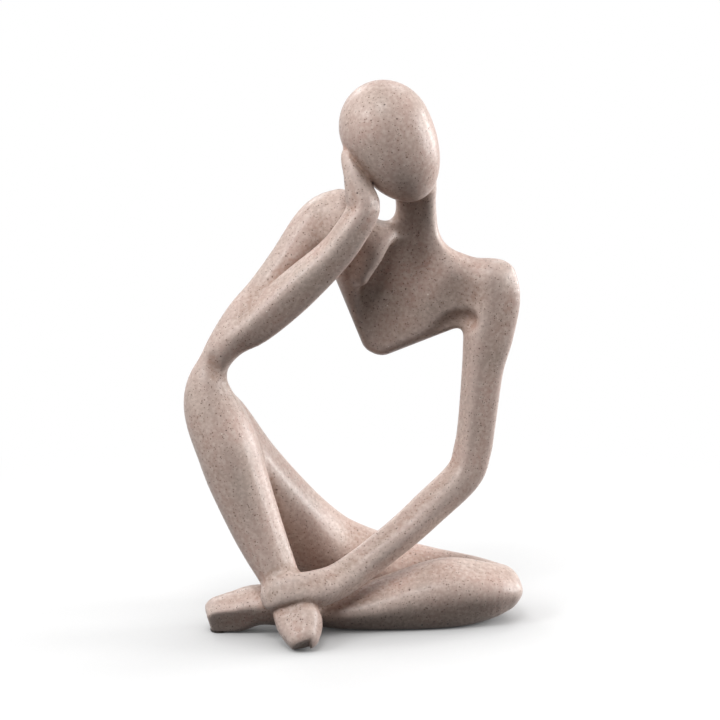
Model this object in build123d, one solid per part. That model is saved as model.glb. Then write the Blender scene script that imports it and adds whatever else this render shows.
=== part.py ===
from build123d import *
import os

# A seated, faceless figure that rests its head on its hand, cast in sandstone resin.
# Five castings are pinned and bonded at the shoulders, knee, hip and ankle, and stand on felt pads.
# X runs to the figure's left, Y to its back, Z up; the origin is the middle of the base.
# All lengths are in millimetres.

# Overall size
FIGURE_WIDTH = 125.0
FIGURE_DEPTH = 73.0
FIGURE_HEIGHT = 203.5

# Head: an egg, blunt at the crown, longer to the chin
HEAD_BREADTH = 33.4
HEAD_CROWN = 17.8
HEAD_CHIN = 28.9
HEAD_TILT = 27.0
HEAD_SHARES = (0.088, -0.018, 0.917)

# Breastplate: shoulders and chest in one plate with rolled edges, scooped in front
CHEST_THICKNESS = 16.0
CHEST_EDGE_RADIUS = 6.2
CHEST_EDGE_LIMIT_SHARE = 0.45
CHEST_LEAN = 6.0
CHEST_SHARES = (0.0, 0.12, 0.68)
SCOOP_RADIUS = 13.0
SCOOP_LENGTH = 50.0
SCOOP_DEPTH = 4.5
SCOOP_TILT = 22.0
SCOOP_SHARES = (0.125, 0.635)

# Limbs: breadth as seen from the front, thickness from front to back
NECK_BREADTH = 17.0
NECK_THICKNESS = 17.0
UPPER_ARM_BREADTH = 16.2
UPPER_ARM_THICKNESS = 16.0
FOREARM_BREADTH = 14.4
FOREARM_THICKNESS = 14.0
LEFT_ARM_BREADTH = 19.2
LEFT_ARM_THICKNESS = 15.0
THIGH_BREADTH = 27.0
THIGH_THICKNESS = 26.0
SHIN_BREADTH = 23.0
SHIN_THICKNESS = 24.0
CALF_BREADTH = 22.2
CALF_THICKNESS = 26.0
ELBOW_BREADTH = 12.2
ELBOW_THICKNESS = 13.0

# Joints: steel pins in drilled and bonded holes
PIN_DIAMETER = 3.0
PIN_LENGTH = 18.0
PIN_CLEARANCE = 0.1

# Felt pads let into the four places that rest on the table, smaller ones under the feet
PAD_DIAMETER = 10.0
FOOT_PAD_DIAMETER = 7.0
PAD_THICKNESS = 1.2
PAD_RECESS = 0.8

# Caps on the limbs' ends: size beside the end oval, and how far its middle sinks into the limb
CAP_SWELL_SHARE = 1.06
CAP_SINK_SHARE = 0.3

# Height of the castings' flat underside above the table
UNDERSIDE = PAD_THICKNESS - PAD_RECESS

BACKWARD = Vector(0, 1, 0)
QUARTER_TURN = 90

# Corners of the breastplate from the front, clockwise from the right shoulder:
# shares of width and height, then the corner's radius as a share of the width
CHEST_OUTLINE_SHARES = (
    (-0.114, 0.728, 0.056),
    (-0.066, 0.790, 0.056),
    (0.064, 0.755, 0.12),
    (0.255, 0.700, 0.12),
    (0.470, 0.650, 0.056),
    (0.436, 0.58, 0.056),
    (0.035, 0.482, 0.085),
)

# Limb stations: shares of width, depth and height, then of the limb's breadth and thickness
NECK_SHARES = (
    (0.144, 0.035, 0.874, 0.88, 1.0),
    (0.172, 0.078, 0.822, 0.95, 1.0),
    (0.178, 0.105, 0.781, 0.87, 1.0),
    (0.180, 0.119, 0.744, 0.9, 0.95),
    (0.180, 0.119, 0.704, 1.0, 0.94),
    (0.171, 0.119, 0.668, 1.22, 0.9),
)
UPPER_ARM_SHARES = (
    (-0.045, 0.12, 0.766, 0.93, 1.0),
    (-0.085, 0.12, 0.750, 1.05, 1.0),
    (-0.125, 0.105, 0.725, 1.06, 1.0),
    (-0.190, 0.065, 0.67, 1.0, 0.94),
    (-0.260, 0.025, 0.615, 0.96, 0.88),
    (-0.325, -0.02, 0.575, 0.88, 0.88),
    (-0.390, -0.06, 0.53, 0.74, 0.81),
)
FOREARM_SHARES = (
    (-0.395, -0.07, 0.515, 0.66, 0.86),
    (-0.350, -0.085, 0.54, 0.78, 0.93),
    (-0.290, -0.1, 0.569, 0.96, 1.0),
    (-0.180, -0.12, 0.628, 1.04, 1.0),
    (-0.065, -0.14, 0.695, 0.9, 0.93),
    (-0.010, -0.155, 0.74, 0.85, 0.86),
    (0.024, -0.155, 0.78, 0.84, 0.78),
    (0.014, -0.15, 0.808, 0.76, 0.66),
    (-0.003, -0.135, 0.838, 0.54, 0.57),
    (-0.023, -0.09, 0.872, 0.3, 0.42),
    (-0.010, -0.05, 0.895, 0.16, 0.3),
)
ELBOW_SHARES = (
    (-0.420, -0.072, 0.492, 1.0, 1.0),
)
LEFT_ARM_SHARES = (
    (0.402, 0.105, 0.640, 0.98, 1.0),
    (0.409, 0.105, 0.6, 1.02, 1.0),
    (0.395, 0.105, 0.535, 0.96, 1.0),
    (0.379, 0.105, 0.47, 0.8, 0.93),
    (0.363, 0.105, 0.37, 0.73, 0.91),
    (0.351, 0.1, 0.32, 0.73, 0.91),
    (0.323, 0.08, 0.274, 0.72, 0.91),
    (0.220, 0.01, 0.2165, 0.72, 0.88),
    (0.136, -0.06, 0.175, 0.69, 0.85),
    (0.030, -0.14, 0.13, 0.68, 0.8),
    (-0.050, -0.225, 0.105, 0.68, 0.73),
    (-0.118, -0.29, 0.101, 0.61, 0.67),
    (-0.190, -0.33, 0.098, 0.58, 0.6),
    (-0.235, -0.32, 0.086, 0.45, 0.53),
)
THIGH_SHARES = (
    (-0.425, -0.05, 0.425, 0.47, 0.64),
    (-0.380, 0.01, 0.387, 0.59, 0.74),
    (-0.300, 0.105, 0.291, 0.71, 0.92),
    (-0.205, 0.2, 0.199, 0.86, 1.0),
    (-0.115, 0.27, 0.135, 0.96, 1.0),
)
SHIN_SHARES = (
    (-0.434, -0.073, 0.458, 0.64, 0.69),
    (-0.430, -0.078, 0.425, 0.81, 0.83),
    (-0.408, -0.09, 0.39, 0.94, 0.94),
    (-0.374, -0.115, 0.34, 1.0, 1.0),
    (-0.345, -0.135, 0.285, 0.96, 0.94),
    (-0.280, -0.182, 0.185, 0.80, 0.79),
    (-0.207, -0.262, 0.095, 0.58, 0.63),
)

# Resting stations: shares of width and depth, lift as a share of the half breadth, then as above
HIP_SHARES = (
    (-0.025, 0.31, 1.4, 1.0, 0.96),
    (0.123, 0.335, 0.9, 0.98, 0.88),
    (0.230, 0.31, 0.86, 0.88, 0.84),
    (0.350, 0.23, 1.0, 0.76, 0.78),
    (0.444, 0.12, 1.42, 0.6, 0.66),
)
CALF_SHARES = (
    (0.450, 0.062, 1.32, 0.74, 0.76),
    (0.378, 0.023, 1.05, 0.93, 0.94),
    (0.270, -0.018, 0.84, 1.0, 1.0),
    (0.135, -0.05, 0.82, 0.87, 0.96),
    (-0.015, -0.085, 0.9, 0.67, 0.85),
    (-0.165, -0.142, 1.2, 0.62, 0.7),
    (-0.280, -0.145, 1.36, 0.66, 0.66),
    (-0.356, -0.14, 1.1, 0.65, 0.64),
    (-0.405, -0.14, 0.97, 0.62, 0.62),
)
FOOT_SHARES = (
    (-0.180, -0.32, 1.55, 0.7, 0.66),
    (-0.160, -0.38, 0.92, 0.68, 0.62),
    (-0.145, -0.43, 0.7, 0.46, 0.42),
)


def place(x_share, y_share, z_share):
    return Vector(x_share * FIGURE_WIDTH, y_share * FIGURE_DEPTH, z_share * FIGURE_HEIGHT)


def stations(shares, breadth, thickness):
    """Centre, half breadth and half thickness at each row of a limb's shares."""
    return [(place(x, y, z), b * breadth / 2, t * thickness / 2) for x, y, z, b, t in shares]


def resting_stations(shares, breadth, thickness):
    """Stations of a limb that lies on the pads, lifted by shares of its half breadth."""
    rows = []
    for x, y, lift, b, t in shares:
        half = b * breadth / 2
        centre = Vector(x * FIGURE_WIDTH, y * FIGURE_DEPTH, UNDERSIDE + lift * half)
        rows.append((centre, half, t * thickness / 2))
    return rows


def spine_planes(rows):
    """Plane across the spine at each station, its x square to the front-to-back direction."""
    points = [row[0] for row in rows]
    before = [points[0], *points[:-1]]
    after = [*points[1:], points[-1]]
    headings = [b - a for a, b in zip(before, after)]
    return [Plane(origin=p, x_dir=h.cross(BACKWARD), z_dir=h) for p, h in zip(points, headings)]


def oval(half_breadth, half_thickness):
    quarters = [
        EllipticalCenterArc((0, 0), half_breadth, half_thickness, turn * QUARTER_TURN)
        for turn in range(4)
    ]
    return make_face(quarters)


def limb(rows, round_start=False, round_end=False):
    """Loft through the ovals of a limb, with a rounded cap on each end that shows."""
    planes = spine_planes(rows)
    solid = loft([plane * oval(b, t) for plane, (_, b, t) in zip(planes, rows)])
    if round_start:
        solid += planes[0] * cap(*rows[0][1:], 1)
    if round_end:
        solid += planes[-1] * cap(*rows[-1][1:], -1)
    return solid


def cap(half_breadth, half_thickness, inward):
    """Ellipsoid over a limb's end, a little fuller than the end and sunk into the limb."""
    reach = min(half_breadth, half_thickness)
    ball = scale(Sphere(1), by=(CAP_SWELL_SHARE * half_breadth, CAP_SWELL_SHARE * half_thickness, reach))
    return Pos(0, 0, inward * CAP_SINK_SHARE * reach) * ball


def egg():
    """The head: half an ellipsoid for the crown and a longer half for the chin, tilted."""
    half = HEAD_BREADTH / 2
    crown = scale(Sphere(1, arc_size1=0, align=Align.NONE), by=(half, half, HEAD_CROWN))
    chin = scale(Sphere(1, arc_size2=0, align=Align.NONE), by=(half, half, HEAD_CHIN))
    return Pos(place(*HEAD_SHARES)) * Rot(0, -HEAD_TILT, 0) * (crown + chin)


def chest_front():
    """Plane of the breastplate's middle, leaning towards the front, with z out of the chest."""
    upright = Plane(place(*CHEST_SHARES), x_dir=(1, 0, 0), z_dir=(0, -1, 0))
    return upright.rotated((CHEST_LEAN, 0, 0))


def on_chest(x_share, z_share):
    """Place in the breastplate's plane."""
    return (x_share * FIGURE_WIDTH, (z_share - CHEST_SHARES[2]) * FIGURE_HEIGHT)


def breastplate():
    """Shoulders and chest: one outline of lines and arcs, given thickness, with rolled edges."""
    corners = [on_chest(x, z) for x, z, _ in CHEST_OUTLINE_SHARES]
    radii = [r * FIGURE_WIDTH for _, _, r in CHEST_OUTLINE_SHARES]
    outline = make_face(FilletPolyline(*corners, radius=radii, close=True))
    plate = extrude(outline, CHEST_THICKNESS / 2, both=True)
    rims = plate.faces().filter_by(Axis.Z).edges()
    limit = CHEST_EDGE_LIMIT_SHARE * min(CHEST_THICKNESS, 2 * min(radii))
    return chest_front() * fillet(rims, min(CHEST_EDGE_RADIUS, limit))


def scoop():
    """Long hollow that runs from the throat down across the chest."""
    hollow = scale(Sphere(1), by=(SCOOP_RADIUS, SCOOP_LENGTH / 2, SCOOP_RADIUS))
    lift = CHEST_THICKNESS / 2 + SCOOP_RADIUS - SCOOP_DEPTH
    return chest_front() * Pos(*on_chest(*SCOOP_SHARES), lift) * Rot(0, 0, -SCOOP_TILT) * hollow


def pin(plane):
    """Steel pin, half in each of the two castings that meet at the plane."""
    return plane * Cylinder(PIN_DIAMETER / 2, PIN_LENGTH)


def pin_hole(plane):
    return plane * Cylinder(PIN_DIAMETER / 2 + PIN_CLEARANCE, PIN_LENGTH + 2 * PIN_CLEARANCE)


def pad(centre, diameter):
    """Felt disc that stands on the table, under a limb's station."""
    disc = Cylinder(diameter / 2, PAD_THICKNESS, align=(Align.CENTER, Align.CENTER, Align.MIN))
    return Pos(centre.X, centre.Y, 0) * disc


# Spines of the limbs
neck_rows = stations(NECK_SHARES, NECK_BREADTH, NECK_THICKNESS)
upper_arm_rows = stations(UPPER_ARM_SHARES, UPPER_ARM_BREADTH, UPPER_ARM_THICKNESS)
forearm_rows = stations(FOREARM_SHARES, FOREARM_BREADTH, FOREARM_THICKNESS)
left_arm_rows = stations(LEFT_ARM_SHARES, LEFT_ARM_BREADTH, LEFT_ARM_THICKNESS)
elbow_rows = stations(ELBOW_SHARES, ELBOW_BREADTH, ELBOW_THICKNESS)
hip_rows = resting_stations(HIP_SHARES, THIGH_BREADTH, THIGH_THICKNESS)
thigh_rows = stations(THIGH_SHARES, THIGH_BREADTH, THIGH_THICKNESS) + hip_rows
foot_rows = resting_stations(FOOT_SHARES, SHIN_BREADTH, SHIN_THICKNESS)
shin_rows = stations(SHIN_SHARES, SHIN_BREADTH, SHIN_THICKNESS)
calf_rows = resting_stations(CALF_SHARES, CALF_BREADTH, CALF_THICKNESS)

# The right side is one line from shoulder to toe, and the thighs one line from knee to knee
side_rows = upper_arm_rows + elbow_rows + shin_rows + foot_rows
side = limb(side_rows, round_start=True)
thighs = limb(thigh_rows, round_start=True, round_end=True)
whole_left_arm = limb(left_arm_rows, round_start=True, round_end=True)
forearm = limb(forearm_rows, round_start=True)
calf = limb(calf_rows, round_start=True, round_end=True)

# Where the castings part: across the arms below the shoulders, between elbow and knee, at the hip
right_shoulder = spine_planes(side_rows)[2]
left_shoulder = spine_planes(left_arm_rows)[2]
knee = spine_planes(side_rows)[len(upper_arm_rows)]
hip = spine_planes(thigh_rows)[len(THIGH_SHARES) + 1]
table = Plane.XY.offset(UNDERSIDE)

# Where the right ankle crosses the left shin
ankle_point = shin_rows[-1][0]
shin_point = calf_rows[5][0]
ankle = Plane((ankle_point + shin_point) / 2, z_dir=shin_point - ankle_point)

left_foot_pad = pad(calf_rows[-1][0], FOOT_PAD_DIAMETER)
left_knee_pad = pad(calf_rows[2][0], PAD_DIAMETER)
seat_pad = pad(hip_rows[2][0], PAD_DIAMETER)
right_foot_pad = pad(foot_rows[1][0], FOOT_PAD_DIAMETER)

head_and_chest = breastplate() + limb(neck_rows) + egg()
head_and_chest += split(side, right_shoulder, Keep.BOTTOM)
head_and_chest += split(whole_left_arm, left_shoulder, Keep.BOTTOM)
head_and_chest -= scoop()

left_leg = split(split(thighs, hip, Keep.TOP) + calf, table, Keep.TOP)

right_leg = split(thighs, hip, Keep.BOTTOM) + split(side, knee, Keep.TOP)
right_leg = split(right_leg, table, Keep.TOP) - left_leg

right_arm = split(split(side, right_shoulder, Keep.TOP), knee, Keep.BOTTOM) + forearm
right_arm -= head_and_chest

left_arm = split(whole_left_arm, left_shoulder, Keep.TOP) - right_leg - left_leg

parts = {
    "head_and_chest": head_and_chest - pin_hole(right_shoulder) - pin_hole(left_shoulder),
    "right_arm": right_arm - pin_hole(right_shoulder) - pin_hole(knee),
    "left_arm": left_arm - pin_hole(left_shoulder),
    "right_leg": right_leg - pin_hole(knee) - pin_hole(hip) - pin_hole(ankle) - right_foot_pad,
    "left_leg": left_leg - pin_hole(hip) - pin_hole(ankle) - left_foot_pad - left_knee_pad - seat_pad,
    "right_shoulder_pin": pin(right_shoulder),
    "left_shoulder_pin": pin(left_shoulder),
    "knee_pin": pin(knee),
    "hip_pin": pin(hip),
    "ankle_pin": pin(ankle),
    "left_foot_pad": left_foot_pad,
    "left_knee_pad": left_knee_pad,
    "seat_pad": seat_pad,
    "right_foot_pad": right_foot_pad,
}

os.makedirs("parts", exist_ok=True)
for name, solid in parts.items():
    export_step(solid, f"parts/{name}.step")
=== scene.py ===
# %% [markdown]
# # A seated thinker in sandstone resin
# The ornament is a faceless figure that sits with crossed legs and rests its head on one hand.
# Its five resin castings are pinned and bonded, and the joints are filled and sanded.
# So the eye sees one skin.
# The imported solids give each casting's size and place, so the looks are built around them in the same frame.

# %% Load the solids
import math

import bmesh
import bpy
import numpy as np
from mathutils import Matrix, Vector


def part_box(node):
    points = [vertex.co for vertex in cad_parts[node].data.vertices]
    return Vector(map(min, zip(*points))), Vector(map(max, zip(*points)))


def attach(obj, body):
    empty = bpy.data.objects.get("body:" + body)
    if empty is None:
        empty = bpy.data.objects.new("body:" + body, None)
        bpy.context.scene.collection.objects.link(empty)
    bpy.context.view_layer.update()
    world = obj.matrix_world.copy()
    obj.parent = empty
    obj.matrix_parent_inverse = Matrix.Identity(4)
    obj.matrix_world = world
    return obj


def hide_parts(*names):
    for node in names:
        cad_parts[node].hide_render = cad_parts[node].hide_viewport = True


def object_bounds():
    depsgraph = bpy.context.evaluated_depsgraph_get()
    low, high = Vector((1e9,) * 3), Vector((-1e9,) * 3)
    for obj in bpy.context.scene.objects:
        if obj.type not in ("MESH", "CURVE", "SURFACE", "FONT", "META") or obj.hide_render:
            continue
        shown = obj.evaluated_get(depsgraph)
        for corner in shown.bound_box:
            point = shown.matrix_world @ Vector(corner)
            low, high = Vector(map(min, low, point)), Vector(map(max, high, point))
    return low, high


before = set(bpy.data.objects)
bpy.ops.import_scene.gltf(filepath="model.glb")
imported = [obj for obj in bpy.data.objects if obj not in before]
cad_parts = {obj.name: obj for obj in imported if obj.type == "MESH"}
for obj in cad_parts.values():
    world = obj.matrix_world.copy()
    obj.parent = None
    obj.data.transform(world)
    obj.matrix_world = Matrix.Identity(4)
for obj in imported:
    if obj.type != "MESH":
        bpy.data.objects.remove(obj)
CAD_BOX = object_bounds()
MM = 0.001
CM = 0.01
LOW = np.array(CAD_BOX[0]) / MM
HIGH = np.array(CAD_BOX[1]) / MM
FIGURE = HIGH - LOW
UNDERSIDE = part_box("left_leg")[0].z / MM
print("figure", FIGURE.round(1), "mm, castings stand", round(UNDERSIDE, 2), "mm above the table")

# %% [markdown]
# ## The camera
# A product photograph is taken from about a metre away with a long lens.
# That way the limbs near the camera don't look too large.
# A camera can be turned by a tracking constraint or by an angle.
# One angle is enough here, because the view looks straight along the depth and a little down.

# %% Camera at the photograph's angle
CAMERA_DISTANCE = 1000.0
CAMERA_RISE = math.radians(12)
LENS = 135
AIM = np.array([1.8, 2.7, 100.6])


def add_camera():
    """A long lens at a distance from the aim, raised by one angle and turned down by the same one."""
    data = bpy.data.cameras.new("camera")
    data.lens = LENS
    camera = bpy.data.objects.new("camera", data)
    back = np.array([0, -math.cos(CAMERA_RISE), math.sin(CAMERA_RISE)])
    camera.location = (AIM + CAMERA_DISTANCE * back) * MM
    camera.rotation_euler = (math.pi / 2 - CAMERA_RISE, 0, 0)
    bpy.context.collection.objects.link(camera)
    bpy.context.scene.camera = camera
    return camera


print("camera at", [round(v, 3) for v in add_camera().location], "m")

# %% [markdown]
# ## A field instead of faces
# The limbs flow into each other without a seam, and a grid of faces can't branch at a shoulder.
# Sculpting or metaballs could do it, but neither is easy to repeat or to steer by sizes.
# So the figure is a field: a box of numbers that hold the distance to the skin, negative inside.
# Two fields melt into one with a smooth minimum, whose width is the radius of the sculptor's thumb.

# %% Grid of the field
STEP = 0.85
ROOM = 4.0
FAR = 30.0
# Added where a sum may come to nothing, so that nothing is divided by zero
TINY = 1e-9
FAINT = 1e-6
ORIGIN = LOW - ROOM
COUNT = np.ceil((HIGH - LOW + 2 * ROOM) / STEP).astype(int) + 1
AXES = [ORIGIN[i] + STEP * np.arange(COUNT[i]) for i in range(3)]


def empty_field():
    """A field that is far outside everywhere."""
    return np.full(COUNT, FAR, np.float32)


def window(low, high):
    """Slices of the grid that hold the box from low to high, and the coordinates along them."""
    first = np.clip(np.floor((low - ORIGIN) / STEP).astype(int), 0, COUNT - 1)
    last = np.clip(np.ceil((high - ORIGIN) / STEP).astype(int) + 1, 1, COUNT)
    part = tuple(slice(a, b) for a, b in zip(first, last))
    axes = [axis[s].astype(np.float32) for axis, s in zip(AXES, part)]
    return part, np.meshgrid(*axes, indexing="ij", sparse=True)


def cubic_centimetres(field):
    """Room inside a field: its points below zero, each worth one cell of the grid."""
    return round(float((field < 0).sum() * (STEP * MM / CM) ** 3), 1)


print("grid of", COUNT, "points,", STEP, "mm apart")

# %% Melting and carving
def melt(a, b, width):
    """Smooth minimum: the smaller field, less a parabola where the two differ by less than the width."""
    share = np.clip(0.5 + 0.5 * (b - a) / width, 0, 1)
    return b + (a - b) * share - width * share * (1 - share)


def carve(body, tool, width):
    """Smooth difference: the body where it lies outside the tool."""
    return -melt(-body, tool, width)


def beyond(point, face):
    """Field of the space in front of a plane: negative on the side to which the face points."""
    x, y, z = np.meshgrid(*AXES, indexing="ij", sparse=True)
    f = face / np.linalg.norm(face)
    ahead = (x - point[0]) * f[0] + (y - point[1]) * f[1] + (z - point[2]) * f[2]
    return -ahead.astype(np.float32)


print("two skins that meet melt outwards by", -melt(0.0, 0.0, STEP), "mm over a width of", STEP, "mm")

# %% [markdown]
# ## Limbs
# Each limb is a soft-edged bar: an oval with four flattened sides, which changes along a curved spine.
# The flats matter: the light breaks along the ridges between them, and the eye reads the form from that.
# A row of a table is a place in the figure's box, two sizes and a turn.
# So the skin follows the size of the frame.

# %% Stations along a spine
SPACING = 2.0


def stations(shares, breadth, thickness):
    """Rows in millimetres: place in the figure's box, half breadth, half thickness, turn in radians."""
    rows = np.array(shares, float)
    halves = rows[:, 3:5] * (breadth / 2, thickness / 2)
    return np.hstack([rows[:, :3] * FIGURE, halves, np.radians(rows[:, 5:6])])


def resting(shares, breadth, thickness):
    """Rows of a limb that lies on the pads: the third share lifts it by its own half breadth."""
    rows = stations(shares, breadth, thickness)
    rows[:, 2] = UNDERSIDE + np.array(shares)[:, 2] * rows[:, 3]
    return rows


def spine(rows):
    """Cubic through the rows: each slope comes from the two neighbours, and points follow at the spacing."""
    before = np.vstack([2 * rows[0] - rows[1], rows[:-1]])
    after = np.vstack([rows[1:], 2 * rows[-1] - rows[-2]])
    slope = (after - before) / 2
    stretches = []
    for a, b, m, n in zip(rows[:-1], rows[1:], slope[:-1], slope[1:]):
        count = int(np.linalg.norm(b[:3] - a[:3]) / SPACING) + 2
        t = np.linspace(0, 1, count)[:-1, None]
        ease = t * t * (3 - 2 * t)
        stretches.append(a + (b - a) * ease + m * t * (1 - t) ** 2 - n * t * t * (1 - t))
    return np.vstack([*stretches, rows[-1:]])


print("spines take a point about every", SPACING, "mm")

# %% Field of a limb
REACH = 9.0
BACKWARD = np.array([0.0, 1.0, 0.0])
LEFTWARD = np.array([-1.0, 0.0, 0.0])
DOWNWARD = np.array([0.0, 0.0, -1.0])


def section_axes(line, face):
    """Unit vectors along the spine, across its thickness and across its breadth, at each point."""
    along = np.gradient(line[:, :3], axis=0)
    along /= np.linalg.norm(along, axis=1, keepdims=True)
    thick = face - (along @ face)[:, None] * along
    thick /= np.linalg.norm(thick, axis=1, keepdims=True)
    return along, thick, np.cross(along, thick)


def limb(rows, square=2.0, face=BACKWARD):
    """Distance to a bar whose section is a superellipse: u and v to the power of square add up to one.

    The section is turned inside its own breadth and thickness: the ridges move, and the outline stays."""
    line = spine(rows)
    along, thick, broad = section_axes(line, face)
    dual = square / (square - 1)
    field = empty_field()
    for i in range(len(line) - 1):
        p, q = line[i, :3], line[i + 1, :3]
        reach = line[i:i + 2, 3:5].max() + REACH
        part, (x, y, z) = window(np.minimum(p, q) - reach, np.maximum(p, q) + reach)
        run = q - p
        ox, oy, oz = x - p[0], y - p[1], z - p[2]
        t = np.clip((ox * run[0] + oy * run[1] + oz * run[2]) / (run @ run), 0, 1)
        ox, oy, oz = ox - t * run[0], oy - t * run[1], oz - t * run[2]
        a = line[i, 3] + t * (line[i + 1, 3] - line[i, 3])
        b = line[i, 4] + t * (line[i + 1, 4] - line[i, 4])
        end = np.minimum(a, b)
        n, m, w = [v[i] + v[i + 1] for v in (broad, thick, along)]
        n, m, w = [v / np.linalg.norm(v) for v in (n, m, w)]
        u = (ox * n[0] + oy * n[1] + oz * n[2]) / a
        v = (ox * m[0] + oy * m[1] + oz * m[2]) / b
        s = (ox * w[0] + oy * w[1] + oz * w[2]) / end
        turn = (line[i, 5] + line[i + 1, 5]) / 2
        c, k = math.cos(turn), math.sin(turn)
        fit = (abs(c) ** dual + abs(k) ** dual) ** (1 / dual)
        e, f = fit * (c * u + k * v), fit * (c * v - k * u)
        girth = (np.abs(e) ** square + np.abs(f) ** square + TINY) ** (1 / square)
        ge = fit * np.sign(e) * (np.abs(e) / girth) ** (square - 1)
        gf = fit * np.sign(f) * (np.abs(f) / girth) ** (square - 1)
        size = np.sqrt(girth ** 2 + s * s)
        across = ((c * ge - k * gf) / a) ** 2 + ((k * ge + c * gf) / b) ** 2
        steep = np.sqrt(across * girth ** 2 + (s / end) ** 2) / size + FAINT
        field[part] = np.minimum(field[part], (size - 1) / steep)
    return field


print("fields are measured out to", REACH, "mm past each limb")

# %% [markdown]
# ## Right side
# The upper arm, elbow and shin are one unbroken line on the real figure: the elbow grows out of the knee.
# One spine with one section carries that line from the shoulder to the ankle.
# The foot is a limb of its own, because it turns forward under the left hand's cuff.
# The forearm leaves the line at the elbow and rises to the cheek, with a ridge along its top.
# A small pit is pressed into the front of the elbow.

# %% Upper arm, elbow, shin and foot
UPPER_ARM_SHARES = (
    (-0.045, 0.12, 0.764, 0.93, 1.0, 12),
    (-0.085, 0.12, 0.750, 1.06, 1.0, 12),
    (-0.125, 0.105, 0.725, 1.08, 1.0, 12),
    (-0.190, 0.065, 0.67, 1.0, 0.94, 12),
    (-0.260, 0.025, 0.615, 0.96, 0.88, 10),
    (-0.325, -0.02, 0.575, 0.88, 0.88, 5),
    (-0.384, -0.06, 0.53, 0.70, 0.81, -5),
    (-0.417, -0.072, 0.492, 0.71, 0.81, -20),
)
SHIN_SHARES = (
    (-0.434, -0.073, 0.458, 0.64, 0.69, -30),
    (-0.430, -0.078, 0.425, 0.81, 0.83, -30),
    (-0.410, -0.09, 0.39, 0.94, 0.94, -30),
    (-0.375, -0.115, 0.34, 1.0, 1.0, -30),
    (-0.345, -0.135, 0.285, 0.96, 0.94, -30),
    (-0.280, -0.182, 0.185, 0.80, 0.79, -30),
    (-0.207, -0.262, 0.095, 0.58, 0.63, -40),
)
FOOT_SHARES = (
    (-0.195, -0.29, 2.3, 0.52, 0.5, 0),
    (-0.180, -0.33, 1.5, 0.66, 0.58, 0),
    (-0.162, -0.39, 0.94, 0.72, 0.58, 0),
    (-0.152, -0.475, 0.78, 0.52, 0.42, 0),
)
UPPER_ARM_SIZE = (16.2, 16.0)
SHIN_SIZE = (23.0, 24.0)
SIDE_SQUARE = 2.3
FOOT_SQUARE = 2.6

upper_arm_rows = stations(UPPER_ARM_SHARES, *UPPER_ARM_SIZE)
shin_rows = stations(SHIN_SHARES, *SHIN_SIZE)
side_rows = np.vstack([upper_arm_rows, shin_rows])
side = limb(side_rows, SIDE_SQUARE)
foot_rows = resting(FOOT_SHARES, *SHIN_SIZE)
right_foot = limb(foot_rows, FOOT_SQUARE)
print("arm and shin hold", cubic_centimetres(side), "cm3, the foot", cubic_centimetres(right_foot), "cm3")

# %% Forearm and the hand on the cheek
FOREARM_SHARES = (
    (-0.385, -0.075, 0.52, 0.4, 0.6, -20),
    (-0.350, -0.085, 0.54, 0.68, 0.88, -20),
    (-0.290, -0.1, 0.568, 0.98, 1.0, -20),
    (-0.180, -0.12, 0.628, 1.06, 1.0, -20),
    (-0.065, -0.14, 0.695, 0.9, 0.93, -20),
    (-0.010, -0.155, 0.74, 0.85, 0.86, -25),
    (0.024, -0.155, 0.78, 0.84, 0.78, -45),
    (0.014, -0.15, 0.808, 0.76, 0.66, -60),
    (-0.003, -0.135, 0.838, 0.52, 0.57, -65),
    (-0.023, -0.09, 0.872, 0.3, 0.42, -65),
    (-0.010, -0.05, 0.895, 0.16, 0.3, -65),
)
FOREARM_SIZE = (14.4, 14.0)
FOREARM_SQUARE = 3.2
forearm = limb(stations(FOREARM_SHARES, *FOREARM_SIZE), FOREARM_SQUARE)
print("forearm and hand hold", cubic_centimetres(forearm), "cm3")

# %% Pit inside the elbow
PIT_SHARES = (
    (-0.418, -0.19, 0.512, 0.8, 1.0, 0),
    (-0.398, -0.195, 0.488, 1.0, 1.0, 0),
)
PIT_SIZE = (8.0, 7.0)
PIT_EDGE = 2.0
whole = cubic_centimetres(side)
side = carve(side, limb(stations(PIT_SHARES, *PIT_SIZE)), PIT_EDGE)
print("the pit takes", round(whole - cubic_centimetres(side), 1), "cm3 away")

# %% [markdown]
# ## Left arm and legs
# The left arm falls straight from the shoulder, bends and lays its hand over the crossed ankle like a cuff.
# The thighs are one bar from knee to knee round the seat, and the left calf lies along the table.
# The left foot is a limb of its own, because its ridges turn further than those of the calf.

# %% Left arm
LEFT_ARM_SHARES = (
    (0.402, 0.105, 0.638, 0.98, 1.0, -40),
    (0.410, 0.105, 0.6, 1.02, 1.0, -55),
    (0.395, 0.105, 0.535, 0.96, 1.0, -68),
    (0.379, 0.105, 0.47, 0.80, 0.93, -70),
    (0.363, 0.105, 0.37, 0.73, 0.91, -70),
    (0.351, 0.1, 0.32, 0.73, 0.91, -68),
    (0.323, 0.08, 0.273, 0.72, 0.91, -60),
    (0.220, 0.01, 0.2165, 0.72, 0.88, -45),
    (0.136, -0.06, 0.175, 0.69, 0.85, -45),
    (0.030, -0.14, 0.13, 0.68, 0.8, -45),
    (-0.050, -0.23, 0.104, 0.70, 0.78, -45),
    (-0.118, -0.305, 0.096, 0.76, 0.84, -40),
    (-0.190, -0.345, 0.096, 0.68, 0.86, -30),
    (-0.236, -0.33, 0.084, 0.54, 0.72, -20),
)
LEFT_ARM_SIZE = (19.2, 15.0)
LEFT_ARM_SQUARE = 3.0
left_arm_rows = stations(LEFT_ARM_SHARES, *LEFT_ARM_SIZE)
left_arm = limb(left_arm_rows, LEFT_ARM_SQUARE)
print("left arm and hand hold", cubic_centimetres(left_arm), "cm3")

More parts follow.
